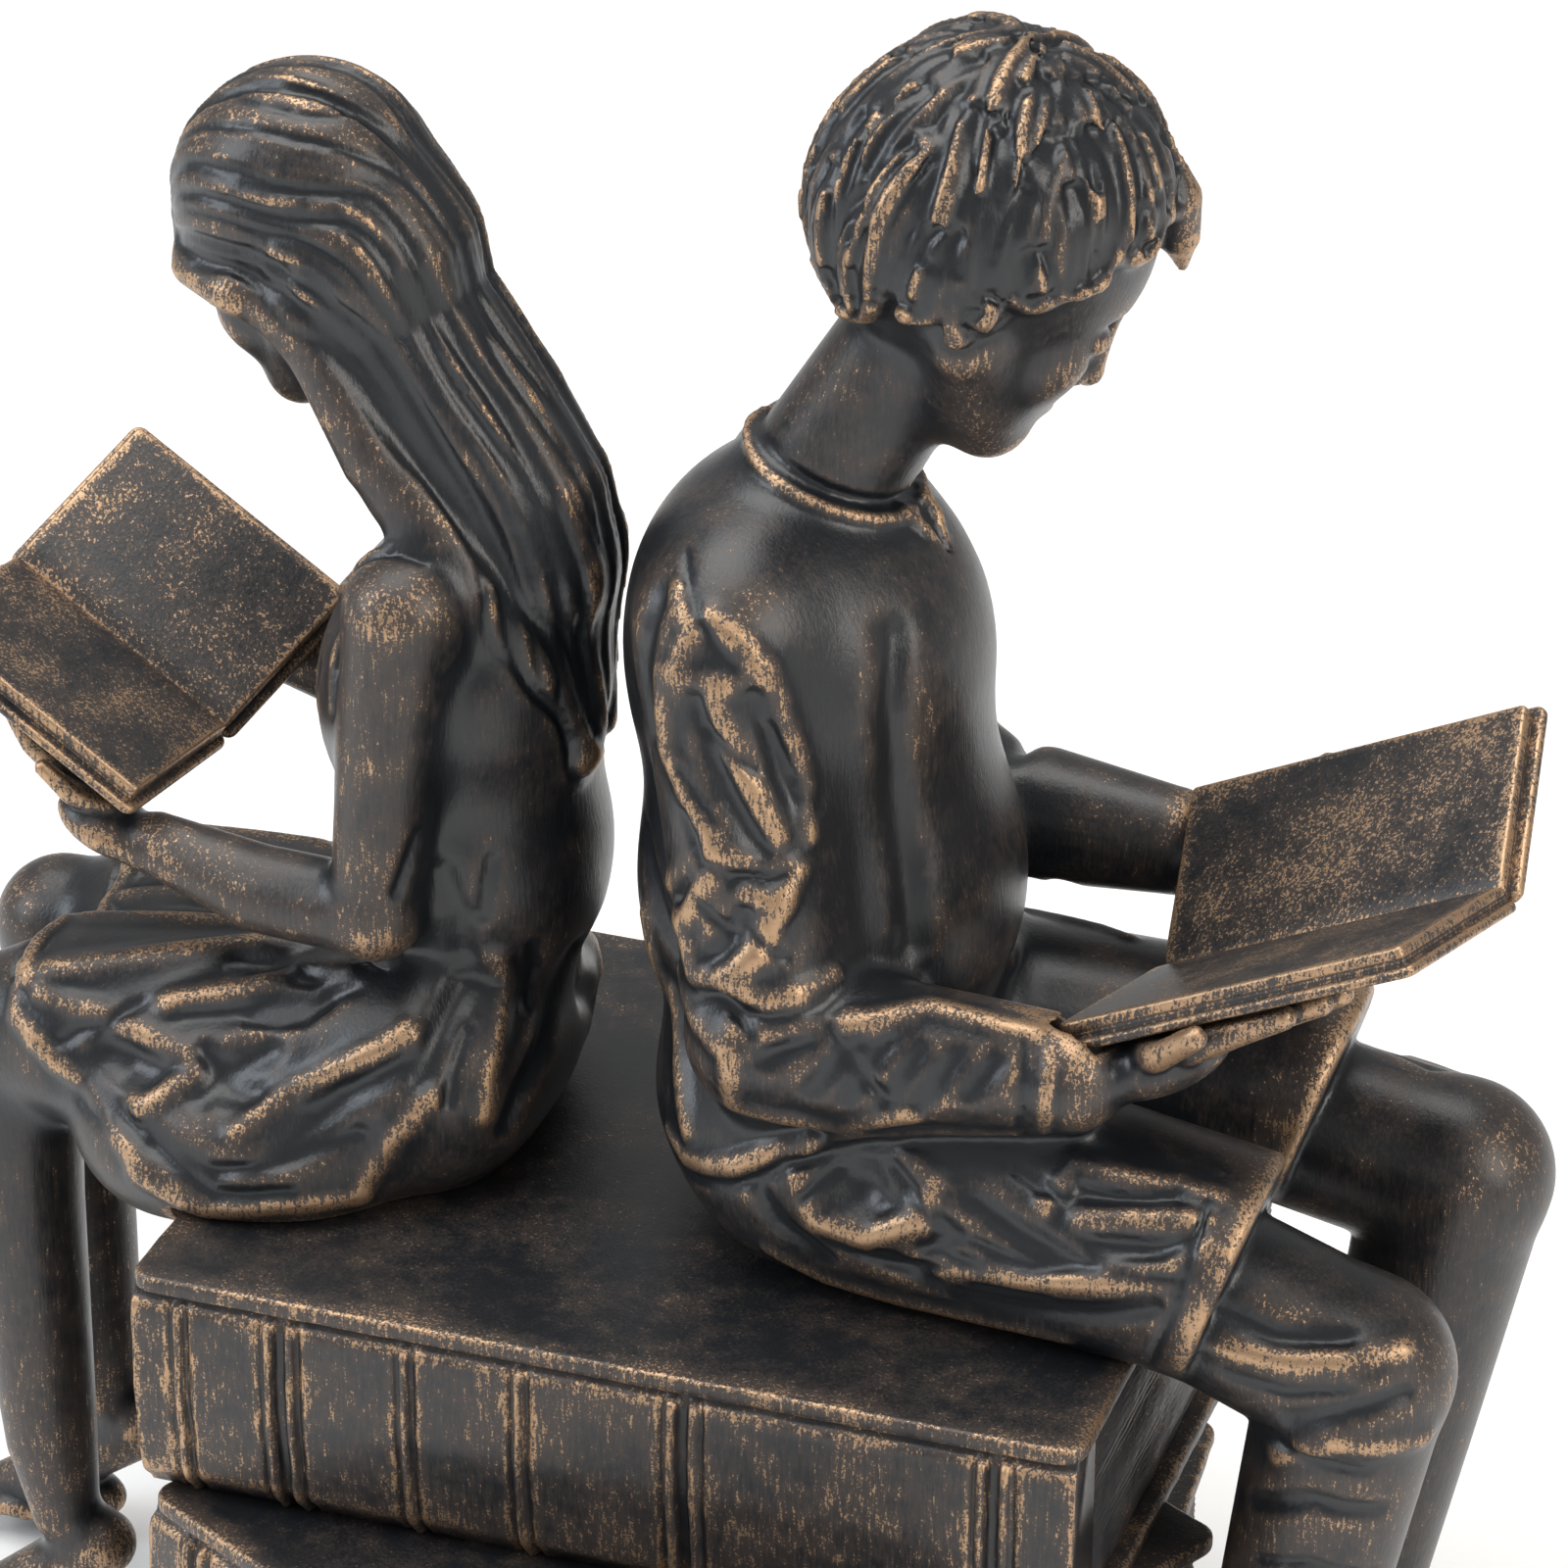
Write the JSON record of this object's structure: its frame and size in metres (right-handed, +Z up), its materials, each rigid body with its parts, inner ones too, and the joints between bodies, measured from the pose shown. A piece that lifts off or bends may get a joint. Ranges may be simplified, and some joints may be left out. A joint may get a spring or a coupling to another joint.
{
  "type": "reading figure sculpture",
  "caption": "Desk sculpture of children reading open books back to back, seated on a fanned stack of thick closed books, in dark resin with a rubbed bronze finish.",
  "frame": {"origin": "on the ground under the middle of the top book", "axes": "+Z up, +X along the top book's back towards the boy's feet, +Y away from the viewer"},
  "size_m": [0.2428, 0.1598, 0.2646],
  "materials": {
    "books_finish": "satin, bronze rubbed on the edges",
    "figure_finish": "satin, bronze rubbed on the ridges",
    "page_finish": "satin, bronze rubbed over the pages"
  },
  "bodies": {
    "root": {"stack_of_books": "books_finish", "boy": "figure_finish", "girl": "figure_finish", "boys_book": "page_finish", "girls_book": "page_finish"}
  },
  "joints": []
}
